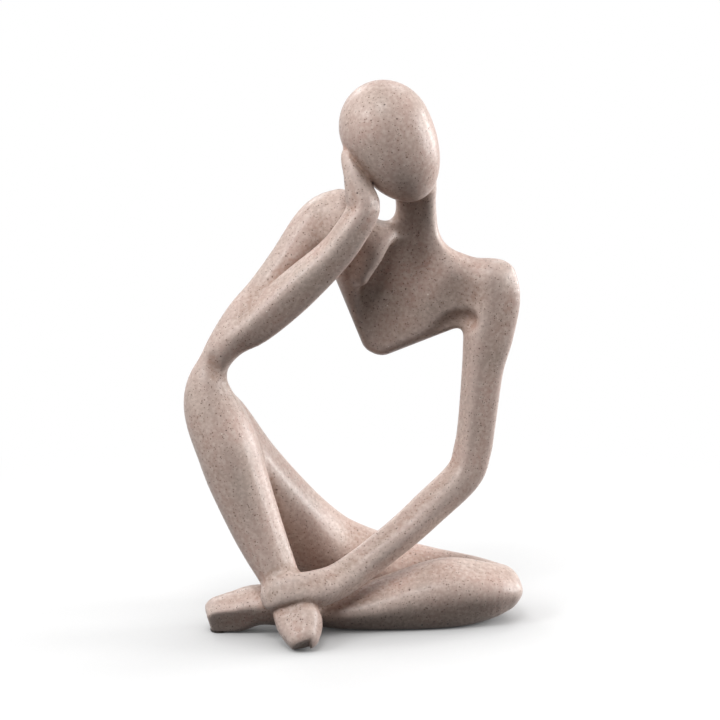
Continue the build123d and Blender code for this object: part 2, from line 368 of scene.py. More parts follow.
# %% Thighs, calf and left foot
THIGH_SHARES = (
    (-0.425, -0.05, 0.425, 0.46, 0.62, -14),
    (-0.380, 0.01, 0.387, 0.57, 0.72, -14),
    (-0.300, 0.105, 0.291, 0.70, 0.92, -14),
    (-0.205, 0.2, 0.187, 0.99, 1.0, -18),
    (-0.115, 0.27, 0.124, 1.07, 1.0, -24),
)
HIP_SHARES = (
    (-0.025, 0.31, 1.4, 1.0, 0.96, -30),
    (0.123, 0.335, 0.9, 0.98, 0.88, -30),
    (0.230, 0.31, 0.86, 0.88, 0.84, -30),
    (0.350, 0.23, 1.0, 0.76, 0.78, -30),
    (0.434, 0.12, 1.42, 0.6, 0.66, -30),
)
CALF_SHARES = (
    (0.432, 0.062, 1.27, 0.8, 0.8, -50),
    (0.378, 0.023, 1.06, 0.98, 0.94, -60),
    (0.270, -0.018, 0.88, 1.17, 1.0, -66),
    (0.135, -0.05, 0.85, 0.96, 0.96, -66),
    (-0.015, -0.085, 0.93, 0.67, 0.85, -58),
    (-0.165, -0.13, 1.3, 0.52, 0.55, -40),
    (-0.240, -0.14, 1.5, 0.45, 0.45, -40),
)
LEFT_FOOT_SHARES = (
    (-0.140, -0.135, 1.15, 0.62, 0.68, -60),
    (-0.280, -0.15, 1.36, 0.66, 0.68, -60),
    (-0.352, -0.145, 0.98, 0.67, 0.70, -60),
    (-0.400, -0.145, 0.85, 0.62, 0.70, -60),
)
THIGH_SIZE = (27.0, 26.0)
CALF_SIZE = (22.2, 26.0)
LEG_SQUARE = 2.9
LEFT_FOOT_SQUARE = 2.8
thigh_rows = np.vstack([stations(THIGH_SHARES, *THIGH_SIZE), resting(HIP_SHARES, *THIGH_SIZE)])
thighs = limb(thigh_rows, LEG_SQUARE)
calf = limb(resting(CALF_SHARES, *CALF_SIZE), LEG_SQUARE)
left_foot = limb(resting(LEFT_FOOT_SHARES, *CALF_SIZE), LEFT_FOOT_SQUARE)
print("legs reach", (thigh_rows[:, 0].max() - side_rows[:, 0].min()).round(1), "mm from knee to knee")

# %% [markdown]
# ## Head and chest
# The head is a plain egg, blunt at the crown and long to the chin, with no face.
# The chest is a shield: a plate with rolled edges, and a long scoop from the throat down across its front.
# A swell stands beside the scoop, and a small hollow runs along the lower edge at the left armpit.
# A plate's field comes from its outline: the distance to the nearest edge, rounded over the thickness.

# %% Egg of the head
HEAD_SHARES = (0.088, -0.018, 0.917)
HEAD_HALF = 16.7
HEAD_CROWN = 17.8
HEAD_CHIN = 28.9
HEAD_TILT = math.radians(27)


def egg():
    """Two half ellipsoids on one round waist: the crown's half is short and the chin's half is long."""
    centre = np.array(HEAD_SHARES) * FIGURE
    reach = HEAD_CHIN + REACH
    part, (x, y, z) = window(centre - reach, centre + reach)
    ox, oy, oz = x - centre[0], y - centre[1], z - centre[2]
    up = oz * math.cos(HEAD_TILT) - ox * math.sin(HEAD_TILT)
    aside = oz * math.sin(HEAD_TILT) + ox * math.cos(HEAD_TILT)
    tall = np.where(up > 0, HEAD_CROWN, HEAD_CHIN)
    u, v, w = aside / HEAD_HALF, oy / HEAD_HALF, up / tall
    size = np.sqrt(u * u + v * v + w * w)
    lean = (u / HEAD_HALF) ** 2 + (v / HEAD_HALF) ** 2 + (w / tall) ** 2
    steep = np.sqrt(lean) / (size + FAINT) + FAINT
    field = empty_field()
    field[part] = (size - 1) / steep
    return field


head = egg()
print("head holds", cubic_centimetres(head), "cm3")

# %% Neck
NECK_SHARES = (
    (0.144, 0.035, 0.874, 0.88, 1.0, 0),
    (0.172, 0.078, 0.822, 0.95, 1.0, 0),
    (0.178, 0.105, 0.781, 0.87, 1.0, 0),
    (0.180, 0.119, 0.744, 0.9, 0.95, 0),
    (0.180, 0.119, 0.704, 1.0, 0.94, 0),
    (0.171, 0.119, 0.668, 1.22, 0.9, 0),
)
NECK_SIZE = (17.0, 17.0)
neck = limb(stations(NECK_SHARES, *NECK_SIZE))
print("neck holds", cubic_centimetres(neck), "cm3")

# %% Shield of the chest
CHEST_CORNER_SHARES = (
    (-0.114, 0.728),
    (-0.066, 0.788),
    (0.064, 0.744),
    (0.255, 0.694),
    (0.4725, 0.644),
    (0.436, 0.58),
    (0.078, 0.488),
    (0.027, 0.503),
)
CHEST_SHARES = (0.0, 0.12, 0.68)
CHEST_THICKNESS = 16.0
CHEST_CORNER_RADIUS = 7.0
CHEST_EDGE_RADIUS = 6.2
CHEST_LEAN = math.radians(10)


def outline_distance(p, q, corners):
    """Distance from (p, q) to a clockwise outline, negative inside: nearest edge, signed by crossings."""
    least = np.full(np.broadcast(p, q).shape, FAR ** 2, np.float32)
    inside = np.zeros(least.shape, bool)
    for (ax, ay), (bx, by) in zip(corners, np.roll(corners, -1, axis=0)):
        ex, ey = bx - ax, by - ay
        t = np.clip(((p - ax) * ex + (q - ay) * ey) / (ex * ex + ey * ey), 0, 1)
        least = np.minimum(least, (p - ax - t * ex) ** 2 + (q - ay - t * ey) ** 2)
        crosses = ((ay > q) != (by > q)) & (p < ax + (q - ay) * ex / (ey + TINY))
        inside ^= crosses
    return np.where(inside, -1, 1) * np.sqrt(least)


def inset(corners, depth):
    """The outline moved inwards: each corner slides along the sum of its two edges' inward normals."""
    run = np.roll(corners, -1, axis=0) - corners
    run /= np.linalg.norm(run, axis=1, keepdims=True)
    inward = np.stack([run[:, 1], -run[:, 0]], axis=1)
    before = np.roll(inward, 1, axis=0)
    both = 1 + (inward * before).sum(axis=1, keepdims=True)
    return corners + depth * (inward + before) / both


def shield():
    """A plate: rounded outline and half thickness, each an edge radius short, then grown by that radius."""
    centre = np.array(CHEST_SHARES) * FIGURE
    corners = np.array(CHEST_CORNER_SHARES) * FIGURE[[0, 2]] - centre[[0, 2]]
    reach = np.array([np.abs(corners[:, 0]).max(), CHEST_THICKNESS, np.abs(corners[:, 1]).max()]) + REACH
    part, (x, y, z) = window(centre - reach, centre + reach)
    oy, oz = y - centre[1], z - centre[2]
    up = oz * math.cos(CHEST_LEAN) - oy * math.sin(CHEST_LEAN)
    out = oz * math.sin(CHEST_LEAN) + oy * math.cos(CHEST_LEAN)
    flat = outline_distance(x - centre[0], up, inset(corners, CHEST_CORNER_RADIUS)) - CHEST_CORNER_RADIUS
    rim = flat + CHEST_EDGE_RADIUS
    face = np.abs(out) - CHEST_THICKNESS / 2 + CHEST_EDGE_RADIUS
    outside = np.hypot(np.maximum(rim, 0), np.maximum(face, 0))
    field = empty_field()
    field[part] = outside + np.minimum(np.maximum(rim, face), 0) - CHEST_EDGE_RADIUS
    return field


chest = shield()
print("chest plate holds", cubic_centimetres(chest), "cm3")

# %% Scoop across the chest
SCOOP_SHARES = (
    (0.176, -0.01, 0.800, 0.46, 0.6, 0),
    (0.196, -0.011, 0.717, 0.69, 0.8, 0),
    (0.184, 0.0, 0.676, 0.85, 0.95, 0),
    (0.128, 0.014, 0.634, 1.0, 1.0, 0),
    (0.116, 0.018, 0.600, 0.94, 0.95, 0),
    (0.100, 0.02, 0.550, 0.8, 0.8, 0),
    (0.090, 0.01, 0.500, 0.6, 0.6, 0),
)
SCOOP_SIZE = (27.0, 11.6)
SCOOP_FACE = np.array([0.3, 1.0, 0.0])
scoop = limb(stations(SCOOP_SHARES, *SCOOP_SIZE), face=SCOOP_FACE)
print("scoop takes up to", cubic_centimetres(np.maximum(scoop, chest)), "cm3 from the plate")

# %% Swell beside the scoop
SWELL_SHARES = (
    (0.030, 0.07, 0.708, 0.8, 1.0, 0),
    (0.050, 0.065, 0.685, 1.0, 1.0, 0),
    (0.025, 0.07, 0.650, 0.6, 1.0, 0),
)
SWELL_SIZE = (17.0, 17.0)
swell = limb(stations(SWELL_SHARES, *SWELL_SIZE))
print("swell stands out by", cubic_centimetres(np.maximum(swell, -chest)), "cm3")

# %% Hollow at the armpit
ARMPIT_SHARES = (
    (0.225, 0.028, 0.532, 0.6, 0.8, 0),
    (0.288, 0.034, 0.556, 1.0, 1.0, 0),
    (0.330, 0.030, 0.566, 0.8, 0.9, 0),
)
ARMPIT_SIZE = (9.0, 9.0)
armpit = limb(stations(ARMPIT_SHARES, *ARMPIT_SIZE))
print("armpit takes up to", cubic_centimetres(np.maximum(armpit, chest)), "cm3 from the plate")

# %% [markdown]
# ## One skin
# The fields are melted in the order in which clay is joined: the trunk first, then the arms and the legs.
# A narrow width leaves a crease, as where the hand meets the cheek, and a wide one leaves a smooth web.
# The forearm's width shrinks as it rises, so it grows out of the elbow and then parts from the upper arm.

# %% Melting widths
NECK_WIDTH = 8.0
SHOULDER_WIDTH = 4.5
SWELL_WIDTH = 5.0
SCOOP_EDGE = 4.5
ARMPIT_EDGE = 2.5
CHIN_WIDTH = 2.5
ELBOW_WIDTH = 6.0
CHEEK_WIDTH = 1.4
LEG_WIDTH = 1.6
SEAT_WIDTH = 2.5
CUFF_WIDTH = 0.7
ELBOW_SHARE = -0.36
PARTING_SHARE = -0.22


def forearm_width():
    """Melting width over the figure's width: wide left of the elbow, narrow right of the parting."""
    x = AXES[0] / FIGURE[0]
    share = np.clip((x - ELBOW_SHARE) / (PARTING_SHARE - ELBOW_SHARE), 0, 1)
    return (ELBOW_WIDTH + (CHEEK_WIDTH - ELBOW_WIDTH) * share)[:, None, None].astype(np.float32)


print("forearm melts over", ELBOW_WIDTH, "mm at the elbow and", CHEEK_WIDTH, "mm at the cheek")

# %% Flat cuts on the feet and at the table
TOE_POINT = np.array([-16.6, -38.5, 5.6])
TOE_FACE = np.array([0.35, -0.55, -0.76])
HEEL_POINT = np.array([-55.5, -10.0, 6.4])
HEEL_FACE = np.array([-0.95, -0.12, -0.28])
UNDERCUT_POINT = np.array([-45.0, -18.8, 10.6])
UNDERCUT_FACE = np.array([-0.05, -0.89, -0.45])
TOE_EDGE = 0.4
UNDERCUT_EDGE = 1.0
HEEL_EDGE = 1.2
TABLE_EDGE = 0.6

feet = cubic_centimetres(right_foot) + cubic_centimetres(left_foot)
toe_notch = np.maximum(beyond(TOE_POINT, TOE_FACE), beyond(TOE_POINT, LEFTWARD))
right_foot = carve(right_foot, toe_notch, TOE_EDGE)
left_foot = carve(left_foot, beyond(HEEL_POINT, HEEL_FACE), HEEL_EDGE)
left_foot = carve(left_foot, beyond(UNDERCUT_POINT, UNDERCUT_FACE), UNDERCUT_EDGE)
table = beyond(np.array([0.0, 0.0, UNDERSIDE]), DOWNWARD)
cut_feet = cubic_centimetres(right_foot) + cubic_centimetres(left_foot)
print("cuts take", round(feet - cut_feet, 1), "cm3 from the feet")

# %% Melt the limbs together
trunk = melt(chest, neck, NECK_WIDTH)
trunk = melt(trunk, swell, SWELL_WIDTH)
trunk = melt(trunk, left_arm, SHOULDER_WIDTH)
trunk = melt(trunk, side, SHOULDER_WIDTH)
trunk = carve(trunk, scoop, SCOOP_EDGE)
trunk = carve(trunk, armpit, ARMPIT_EDGE)
trunk = melt(trunk, head, CHIN_WIDTH)
body = melt(trunk, forearm, forearm_width())
body = melt(body, right_foot, CUFF_WIDTH)
left_calf = melt(calf, left_foot, LEG_WIDTH)
body = melt(body, melt(thighs, left_calf, LEG_WIDTH), SEAT_WIDTH)
body = carve(body, table, TABLE_EDGE)
print("figure holds", cubic_centimetres(body), "cm3")

# %% [markdown]
# ## From the field to a mesh
# A mesh is drawn through the cells where the field changes sign.
# Each such cell has one point, and each edge that is crossed has one face.
# Marching cubes is better known, but this way gives even quads, which take a smooth shade.
# The points then slide along the skin until they are evenly spread, so no steps show in the highlights.

# %% Surface nets
CORNERS = [(i, j, k) for i in (0, 1) for j in (0, 1) for k in (0, 1)]


def shifted(array, corner):
    """The array as seen from one corner of every cell: a step further along each axis with a 1."""
    return array[tuple(slice(c, n - 1 + c) for c, n in zip(corner, array.shape))]


def net(value):
    """One point per mixed cell, at the mean of its edges' crossings, and one quad per crossed grid edge."""
    inside = value < 0
    held = sum(shifted(inside, c).astype(np.int8) for c in CORNERS)
    mixed = (held > 0) & (held < len(CORNERS))
    index = np.full(mixed.shape, -1)
    index[mixed] = np.arange(mixed.sum())
    cell = np.argwhere(mixed)
    total, weight = np.zeros((len(cell), 3)), np.zeros((len(cell), 1))
    for c in CORNERS:
        for axis in range(3):
            if c[axis] == 0:
                far = tuple(1 if i == axis else c[i] for i in range(3))
                a, b = shifted(value, c)[mixed], shifted(value, far)[mixed]
                crossed = (a < 0) != (b < 0)
                at = np.tile(np.array(c, float), (len(cell), 1))
                at[:, axis] = np.where(crossed, a / np.where(crossed, a - b, 1), 0)
                total += at * crossed[:, None]
                weight += crossed[:, None]
    quads = [crossing_quads(inside, index, axis) for axis in range(3)]
    return ORIGIN + STEP * (cell + total / weight), np.vstack(quads)


def crossing_quads(inside, index, axis):
    """The four cells round each grid edge along the axis whose ends differ, wound to face outwards."""
    near = [slice(1, -1)] * 3
    far = [slice(1, -1)] * 3
    near[axis], far[axis] = slice(0, -1), slice(1, None)
    leaves = inside[tuple(near)] & ~inside[tuple(far)]
    edge = np.argwhere(inside[tuple(near)] != inside[tuple(far)])
    outward = leaves[tuple(edge.T)]
    edge[:, [i for i in range(3) if i != axis]] += 1
    b, c = (axis + 1) % 3, (axis + 2) % 3
    ring = []
    for back_b, back_c in ((1, 1), (0, 1), (0, 0), (1, 0)):
        at = edge.copy()
        at[:, b] -= back_b
        at[:, c] -= back_c
        ring.append(index[tuple(at.T)])
    ring = np.stack(ring, axis=1)
    return np.where(outward[:, None], ring, ring[:, ::-1])


points, quads = net(body)
print("skin of", len(points), "points and", len(quads), "quads")

# %% Slide the points along the skin
ROUNDS = 6
EASE = 0.5
# Just over one, so that the last point still lies inside the last cell
LAST_CELL = 1.001


def sample(value, at):
    """Value and slope of the field between its grid points: the eight corners weighed by nearness."""
    place = np.clip((at - ORIGIN) / STEP, 0, COUNT - LAST_CELL)
    base = place.astype(int)
    t = place - base
    height, slope = np.zeros(len(at)), np.zeros((len(at), 3))
    for c in CORNERS:
        held = value[tuple((base + c).T)]
        weigh = np.where(c, t, 1 - t)
        height += held * weigh.prod(axis=1)
        sign = np.where(c, 1, -1) / STEP
        others = np.stack([weigh[:, [1, 2]].prod(axis=1), weigh[:, [0, 2]].prod(axis=1),
                           weigh[:, [0, 1]].prod(axis=1)], axis=1)
        slope += held[:, None] * others * sign
    return height, slope


def neighbour_mean(at, faces):
    """Mean of the points that share an edge with each point."""
    start, end = faces.ravel(), np.roll(faces, -1, axis=1).ravel()
    both, other = np.concatenate([start, end]), np.concatenate([end, start])
    count = np.bincount(both, minlength=len(at))[:, None]
    total = [np.bincount(both, at[other, i], len(at)) for i in range(3)]
    return np.stack(total, axis=1) / count


def slide(at, faces, value):
    """Towards the neighbours' mean, then back to the skin along the field's slope, a few times."""
    for _ in range(ROUNDS):
        at = at + EASE * (neighbour_mean(at, faces) - at)
        height, slope = sample(value, at)
        at = at - slope * (height / ((slope ** 2).sum(axis=1) + FAINT))[:, None]
    return at


points = slide(points, quads, body)
print("furthest point from the skin", np.abs(sample(body, points)[0]).max().round(3), "mm")

# %% [markdown]
# ## Five castings
# The real joints are hidden, but the castings are separate pieces, so the skin is parted where they meet.
# Each face goes to the casting whose own limbs lie nearest.
# A fan of faces inside closes each seam that is one plain loop, and the edges left open are counted.
# The points of two neighbours agree along the seam, so nothing shows from outside.

# %% Part the skin
HIP_ROW = len(THIGH_SHARES) + 1
SHOULDER_ROW = 2
KNEE_ROW = len(UPPER_ARM_SHARES) - 1


def halves(field, rows, i):
    """The limb's field before and after its row i."""
    point, along = rows[i, :3], rows[i + 1, :3] - rows[i - 1, :3]
    return np.maximum(field, beyond(point, -along)), np.maximum(field, beyond(point, along))


shoulder_stub, rest_of_side = halves(side, side_rows, SHOULDER_ROW)
elbow_part, shin_part = halves(rest_of_side, side_rows, KNEE_ROW)
left_stub, left_arm_part = halves(left_arm, left_arm_rows, SHOULDER_ROW)
right_thigh, left_thigh = halves(thighs, thigh_rows, HIP_ROW)
CASTINGS = {
    "head_and_chest": [chest, swell, neck, head, shoulder_stub, left_stub],
    "right_arm": [elbow_part, forearm],
    "left_arm": [left_arm_part],
    "right_leg": [shin_part, right_foot, right_thigh],
    "left_leg": [left_thigh, left_calf],
}
middles = points[quads].mean(axis=1)
nearness = [np.min([sample(f, middles)[0] for f in fields], axis=0) for fields in CASTINGS.values()]
owner = np.argmin(nearness, axis=0)
print({name: int((owner == i).sum()) for i, name in enumerate(CASTINGS)})

# %% Hollows and ridges
CURVE_SPAN = 3.0


def bend(value, at):
    """How sharply the skin bends: the field's mean a short way off in six directions, less its own value."""
    offsets = CURVE_SPAN * np.vstack([np.eye(3), -np.eye(3)])
    around = np.mean([sample(value, at + o)[0] for o in offsets], axis=0)
    return around / CURVE_SPAN


ridge = bend(body, points)
slopes = sample(body, points)[1]
print("bend from", ridge.min().round(2), "in hollows to", ridge.max().round(2), "on ridges")

# %% Castings as objects
def casting(name, faces):
    """Faces with their points renumbered, plain seams closed by fans, and the field's slope as normals."""
    used, flat = np.unique(faces, return_inverse=True)
    mesh = bpy.data.meshes.new(name)
    mesh.from_pydata((points[used] * MM).tolist(), [], flat.reshape(-1, 4).tolist())
    mesh.attributes.new("ridge", "FLOAT", "POINT").data.foreach_set("value", ridge[used].astype(np.float32))
    mesh.shade_smooth()
    shell = bmesh.new()
    shell.from_mesh(mesh)
    seam = [e for e in shell.edges if e.is_boundary]
    lids = bmesh.ops.holes_fill(shell, edges=seam, sides=0)["faces"]
    fans = bmesh.ops.poke(shell, faces=lids)["faces"]
    for face in fans:
        face.smooth = True
    shell.to_mesh(mesh)
    open_edges = sum(not e.is_manifold for e in shell.edges)
    shell.free()
    extra = len(mesh.vertices) - len(used)
    normals = np.vstack([slopes[used], np.tile(BACKWARD, (extra, 1))])
    mesh.normals_split_custom_set_from_vertices(normals.tolist())
    piece = bpy.data.objects.new(name, mesh)
    bpy.context.collection.objects.link(piece)
    print(name, len(mesh.polygons), "faces,", open_edges, "open edges")
    return piece


skins = {}
for i, name in enumerate(CASTINGS):
    skins[name] = casting("cast_" + name, quads[owner == i])
    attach(skins[name], "root")
    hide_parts(name)

# %% [markdown]
# ## Sandstone resin
# The casting is polyester resin filled with stone powder: a warm pinkish beige with dark and pale grains.
# It has a satin skin from a rubber mould, with a paler painted highlight on ridges and browner painted shade
# in hollows.
# An image could give the grain, but cells and noise in the object's own space have no seams.
# They also keep their size on every limb.

# %% Node helpers
def linear(hex_colour):
    """sRGB hex to linear light: each channel through the standard curve."""
    channels = [int(hex_colour[i:i + 2], 16) / 255 for i in (1, 3, 5)]
    light = [c / 12.92 if c <= 0.04045 else ((c + 0.055) / 1.055) ** 2.4 for c in channels]
    return (*light, 1.0)


def node(tree, kind, inputs=(), **settings):
    """A node with its settings; each input is joined to another node's output or given a plain value."""
    made = tree.nodes.new("ShaderNode" + kind)
    for key, value in settings.items():
        setattr(made, key, value)
    for key, value in dict(inputs).items():
        if isinstance(value, bpy.types.NodeSocket):
            tree.links.new(value, made.inputs[key])
        else:
            made.inputs[key].default_value = value
    return made


def new_material(name):
    """A material with nodes, and its principled shader and Object coordinates."""
    material = bpy.data.materials.new(name)
    material.use_nodes = True
    tree = material.node_tree
    shader = tree.nodes["Principled BSDF"]
    return material, tree, shader, node(tree, "TexCoord").outputs["Object"]


print("mid grey #808080 is", round(linear("#808080")[0], 3), "in linear light")

# %% Sandstone resin
STONE_PALE = "#D2BFB5"
STONE_PINK = "#BE9F93"
STONE_GREY = "#B6A195"
# A paler grey-pink painted on ridges as a highlight
PAINTED_RIDGE_HIGHLIGHT = "#CFC1BB"
# A brown painted into hollows as shade
PAINTED_HOLLOW_SHADE = "#86695A"
GRAIN_BROWN = "#72584B"
GRAIN_BLACK = "#46362F"
GRAIN_WHITE = "#F1E8E0"
CLOUD_MM = 14.0
MOTTLE_MM = 1.4
GRAIN_MM = 0.6
SHAKE_MM = 0.9
CLOUD_BAND = (0.35, 0.65)
MOTTLE_BAND = (0.4, 0.7)
CLOUD_DETAIL = 3.0
GRAIN_DETAIL = 2.0
# The bend at which a ridge's painted highlight is full, and those at which the painted shade in a hollow
# starts and is full
HIGHLIGHT_BEND = 0.12
HIGHLIGHT_SHARE = 0.4
SHADE_BEND = (0.05, -0.3)
SHADE_SHARE = 0.7
# For each grain: spacing in millimetres, share of the cells that hold one, largest radius in spacings
SPECKS = {
    GRAIN_BROWN: (0.8, 0.75, 0.5),
    GRAIN_BLACK: (1.6, 0.4, 0.32),
    GRAIN_WHITE: (1.3, 0.3, 0.3),
}
SPECK_DEPTH = 1.7
SATIN_ROUGHNESS = (0.26, 0.44)
RELIEF_MM = 0.12
RELIEF_SHARE = 0.3
RESIN_IOR = 1.5
RESIN_SPECULAR = 0.25


def speckles(tree, place, spacing, share, radius):
    """Grains of many sizes: how far a cell's random number passes 1 less the share sets its radius."""
    cells = node(tree, "TexVoronoi", {"Vector": place, "Scale": 1 / (spacing * MM)})
    size = node(tree, "MapRange", {"Value": cells.outputs["Color"], "From Min": 1 - share, "To Max": radius})
    near = node(tree, "MapRange", {"Value": cells.outputs["Distance"], "From Min": size.outputs[0],
                                   "From Max": 0.0, "To Max": SPECK_DEPTH})
    return near.outputs[0]


def sandstone_resin():
    """Clouded pinkish beige with brown, black and white specks, a paler painted highlight on ridges, browner
    painted shade in hollows.
    """
    material, tree, shader, place = new_material("cast_sandstone_resin")
    clouds = node(tree, "TexNoise", {"Vector": place, "Scale": 1 / (CLOUD_MM * MM), "Detail": CLOUD_DETAIL})
    patches = node(tree, "MapRange", {"Value": clouds.outputs[0], "From Min": CLOUD_BAND[0],
                                      "From Max": CLOUD_BAND[1]})
    tone = node(tree, "Mix", {0: patches.outputs[0], 6: linear(STONE_PINK), 7: linear(STONE_GREY)},
                data_type="RGBA")
    ridge_value = node(tree, "Attribute", attribute_name="ridge").outputs["Fac"]
    # Painted highlight: ridges are mixed towards a paler grey-pink, as if light caught them
    painted_highlight = node(tree, "MapRange", {"Value": ridge_value, "From Max": HIGHLIGHT_BEND, "To Max": HIGHLIGHT_SHARE})
    tone = node(tree, "Mix", {0: painted_highlight.outputs[0], 6: tone.outputs[2], 7: linear(PAINTED_RIDGE_HIGHLIGHT)},
                data_type="RGBA")
    mottle = node(tree, "TexNoise", {"Vector": place, "Scale": 1 / (MOTTLE_MM * MM), "Detail": CLOUD_DETAIL})
    worn = node(tree, "MapRange", {"Value": mottle.outputs[0], "From Min": MOTTLE_BAND[0],
                                   "From Max": MOTTLE_BAND[1]})
    tone = node(tree, "Mix", {0: worn.outputs[0], 6: tone.outputs[2], 7: linear(STONE_PALE)},
                data_type="RGBA")
    # Painted shade: hollows are mixed towards brown, where shade falls
    painted_shade = node(tree, "MapRange", {"Value": ridge_value, "From Min": SHADE_BEND[0],
                                     "From Max": SHADE_BEND[1], "To Max": SHADE_SHARE})
    tone = node(tree, "Mix", {0: painted_shade.outputs[0], 6: tone.outputs[2], 7: linear(PAINTED_HOLLOW_SHADE)},
                data_type="RGBA")
    grain = node(tree, "TexNoise", {"Vector": place, "Scale": 1 / (GRAIN_MM * MM), "Detail": GRAIN_DETAIL})
    shaken = node(tree, "VectorMath", {0: grain.outputs["Color"], 1: (SHAKE_MM * MM,) * 3, 2: place},
                  operation="MULTIPLY_ADD")
    for colour, (spacing, share, radius) in SPECKS.items():
        specks = speckles(tree, shaken.outputs[0], spacing, share, radius)
        tone = node(tree, "Mix", {0: specks, 6: tone.outputs[2], 7: linear(colour)}, data_type="RGBA")
    satin = node(tree, "MapRange", {"Value": grain.outputs[0], "To Min": SATIN_ROUGHNESS[0],
                                    "To Max": SATIN_ROUGHNESS[1]})
    relief = node(tree, "Bump", {"Height": grain.outputs[0], "Strength": RELIEF_SHARE,
                                 "Distance": RELIEF_MM * MM})
    tree.links.new(tone.outputs[2], shader.inputs["Base Color"])
    tree.links.new(satin.outputs[0], shader.inputs["Roughness"])
    tree.links.new(relief.outputs[0], shader.inputs["Normal"])
    shader.inputs["IOR"].default_value = RESIN_IOR
    shader.inputs["Specular IOR Level"].default_value = RESIN_SPECULAR
    return material


stone = sandstone_resin()
for piece in skins.values():
    piece.data.materials.append(stone)
print("skins in", stone.name)

# %% [markdown]
# ## Felt pads and steel pins
# The pads are punched from pressed felt, so each is a disc with a soft edge and a fuzzy outline.
# A pad is a turned profile: rings of points follow the profile's radius, and the edge is ruffled a little.
# The pins are hidden in their holes, and they keep the solids' own shape in drawn steel.

# %% Felt pads
PADS = ("left_foot_pad", "left_knee_pad", "seat_pad", "right_foot_pad")
PAD_SIDES = 120
PAD_PROFILE = np.array([(0.0, 1.0), (0.6, 1.0), (0.9, 0.98), (0.97, 0.9), (1.0, 0.7),
                        (1.0, 0.3), (0.97, 0.1), (0.9, 0.02), (0.6, 0.0), (0.0, 0.0)])
RUFFLE = 0.012
RUFFLE_WAVES = (17, 29, 41)


def felt_pad(node_name):
    """Profile times angle, as shares of the solid's box, with the radius ruffled by three waves."""
    low, high = [np.array(corner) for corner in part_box(node_name)]
    middle, half = (low + high) / 2, (high - low) / 2
    angle = np.linspace(0, 2 * np.pi, PAD_SIDES, endpoint=False)
    ruffle = sum(np.sin(waves * angle + waves) for waves in RUFFLE_WAVES) / len(RUFFLE_WAVES)
    rings = PAD_PROFILE[1:-1]
    radius = rings[:, :1] * half[0] * (1 - RUFFLE + RUFFLE * ruffle)
    height = np.broadcast_to(low[2] + rings[:, 1:] * 2 * half[2], radius.shape)
    at = np.stack([middle[0] + radius * np.cos(angle), middle[1] + radius * np.sin(angle), height], axis=2)
    ends = [[middle[0], middle[1], high[2]], [middle[0], middle[1], low[2]]]
    ring, spoke = np.meshgrid(np.arange(len(rings) - 1), np.arange(PAD_SIDES), indexing="ij")
    after = (spoke + 1) % PAD_SIDES
    walls = np.stack([ring * PAD_SIDES + spoke, (ring + 1) * PAD_SIDES + spoke,
                      (ring + 1) * PAD_SIDES + after, ring * PAD_SIDES + after], axis=2).reshape(-1, 4)
    count = len(rings) * PAD_SIDES
    first, last = np.arange(PAD_SIDES), np.arange(count - PAD_SIDES, count)
    top = np.stack([np.full(PAD_SIDES, count), first, np.roll(first, -1)], axis=1)
    bottom = np.stack([np.full(PAD_SIDES, count + 1), np.roll(last, -1), last], axis=1)
    mesh = bpy.data.meshes.new("felt_" + node_name)
    mesh.from_pydata(at.reshape(-1, 3).tolist() + ends, [], walls.tolist() + top.tolist() + bottom.tolist())
    mesh.shade_smooth()
    piece = bpy.data.objects.new("felt_" + node_name, mesh)
    bpy.context.collection.objects.link(piece)
    return piece


# %% Felt and steel
FELT_DARK = "#2A221D"
FELT_LIGHT = "#4A3D34"
FIBRE_MM = 0.18
COARSE_FIBRE_MM = 0.36
FIBRE_STRETCH = (1.0, 0.35, 1.0)
FIBRE_DETAIL = 4.0
FIBRE_BAND = (0.12, 0.4)
NAP_MM = 0.15
NAP_SHARE = 0.8
FELT_ROUGHNESS = 0.95
FELT_SHEEN = 0.4
STEEL_DARK = "#8E9092"
STEEL_LIGHT = "#C4C6C8"
DRAW_MM = 0.12
DRAW_DETAIL = 3.0
STEEL_ROUGHNESS = (0.25, 0.45)


def pressed_felt():
    """Pressed wool: short fibres cross each other, so two noises, one of them stretched, mix two browns."""
    material, tree, shader, place = new_material("pressed_brown_felt")
    across = node(tree, "VectorMath", {0: place, 1: FIBRE_STRETCH}, operation="MULTIPLY")
    fine = node(tree, "TexNoise", {"Vector": across.outputs[0], "Scale": 1 / (FIBRE_MM * MM),
                                   "Detail": FIBRE_DETAIL})
    coarse = node(tree, "TexNoise", {"Vector": place, "Scale": 1 / (COARSE_FIBRE_MM * MM),
                                     "Detail": FIBRE_DETAIL})
    fibre = node(tree, "Math", {0: fine.outputs[0], 1: coarse.outputs[0]}, operation="MULTIPLY")
    share = node(tree, "MapRange", {"Value": fibre.outputs[0], "From Min": FIBRE_BAND[0],
                                    "From Max": FIBRE_BAND[1]})
    tone = node(tree, "Mix", {0: share.outputs[0], 6: linear(FELT_DARK), 7: linear(FELT_LIGHT)},
                data_type="RGBA")
    nap = node(tree, "Bump", {"Height": fibre.outputs[0], "Strength": NAP_SHARE, "Distance": NAP_MM * MM})
    tree.links.new(tone.outputs[2], shader.inputs["Base Color"])
    tree.links.new(nap.outputs[0], shader.inputs["Normal"])
    shader.inputs["Roughness"].default_value = FELT_ROUGHNESS
    shader.inputs["Sheen Weight"].default_value = FELT_SHEEN
    return material


def drawn_steel():
    """Drawn rod: bright grey metal with fine marks, whose shine varies with the same noise."""
    material, tree, shader, place = new_material("drawn_steel")
    marks = node(tree, "TexNoise", {"Vector": place, "Scale": 1 / (DRAW_MM * MM), "Detail": DRAW_DETAIL})
    tone = node(tree, "Mix", {0: marks.outputs[0], 6: linear(STEEL_DARK), 7: linear(STEEL_LIGHT)},
                data_type="RGBA")
    shine = node(tree, "MapRange", {"Value": marks.outputs[0], "To Min": STEEL_ROUGHNESS[0],
                                    "To Max": STEEL_ROUGHNESS[1]})
    tree.links.new(tone.outputs[2], shader.inputs["Base Color"])
    tree.links.new(shine.outputs[0], shader.inputs["Roughness"])
    shader.inputs["Metallic"].default_value = 1.0
    return material


